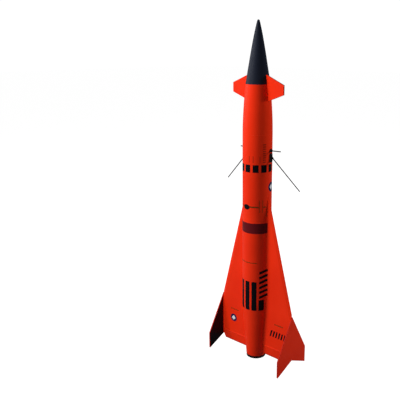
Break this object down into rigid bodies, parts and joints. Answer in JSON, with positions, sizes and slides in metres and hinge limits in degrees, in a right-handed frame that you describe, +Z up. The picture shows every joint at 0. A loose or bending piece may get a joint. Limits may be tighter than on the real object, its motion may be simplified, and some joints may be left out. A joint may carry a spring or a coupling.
{
  "type": "model rocket",
  "caption": "Model rocket of a supersonic target drone, with delta wings, tip fins, canards, a pull-off nose and a motor mount with a screw-on retaining ring.",
  "frame": {"origin": "on the ground, on the body's axis, under the tail; the rocket stands on its four fin points", "axes": "+Z up the body towards the nose; X along the wings; +Y towards the launch lugs"},
  "size_m": [0.1904, 0.0912, 0.685],
  "materials": {
    "painted_tube": "glossy fluorescent red-orange spray paint on a filled paper tube",
    "painted_plastic": "glossy fluorescent red-orange spray paint",
    "painted_wood": "glossy fluorescent red-orange spray paint on sealed plywood",
    "nose_black": "satin blue-black paint",
    "black_plastic": "satin moulded black",
    "kraft_tube": "bare kraft paper",
    "plywood": "bare laser-cut plywood",
    "steel": "zinc plated",
    "antenna_wire": "satin dark grey",
    "decal_black": "black waterslide film",
    "decal_maroon": "dark maroon waterslide film",
    "decal_lines": "thin brown printed lines on clear waterslide film",
    "decal_navy": "navy waterslide film",
    "decal_white": "white waterslide film"
  },
  "bodies": {
    "airframe": {"upper_tube": "painted_tube", "lower_tube": "painted_tube", "tube_coupler": "kraft_tube", "tail_shroud": "painted_plastic", "wing_left": "painted_wood", "wing_right": "painted_wood", "tip_fin_left": "painted_wood", "tip_fin_right": "painted_wood", "motor_tube": "kraft_tube", "ring_front": "plywood", "ring_mid": "plywood", "ring_rear": "plywood", "retainer_collar": "black_plastic", "baffle_low": "plywood", "baffle_top": "plywood", "baffle_posts": "plywood", "anchor_eye": "steel", "anchor_nut": "steel", "lug_fore": "painted_tube", "lug_aft": "painted_tube", "boss_round_left": "black_plastic", "boss_round_right": "black_plastic", "boss_slot_left": "black_plastic", "boss_slot_right": "black_plastic", "antenna_long_left": "antenna_wire", "antenna_long_right": "antenna_wire", "antenna_short_left": "antenna_wire", "antenna_short_right": "antenna_wire"},
    "nose": {"nose_tip": "nose_black", "nose_forebody": "painted_plastic", "nose_shoulder": "painted_plastic", "nose_eye": "steel", "nose_nut": "steel", "nose_weight": "steel", "canard_left": "painted_wood", "canard_right": "painted_wood"},
    "retainer": {"retainer_ring": "black_plastic"}
  },
  "joints": [
    {"name": "nose_pull", "type": "slide", "parent": "airframe", "child": "nose", "axis": [0, 0, 1], "range_m": [0, 0.06]},
    {"name": "retainer_turn", "type": "hinge", "parent": "airframe", "child": "retainer", "pos_m": [0, 0, 0.0055], "axis": [0, 0, 1], "continuous": true}
  ]
}
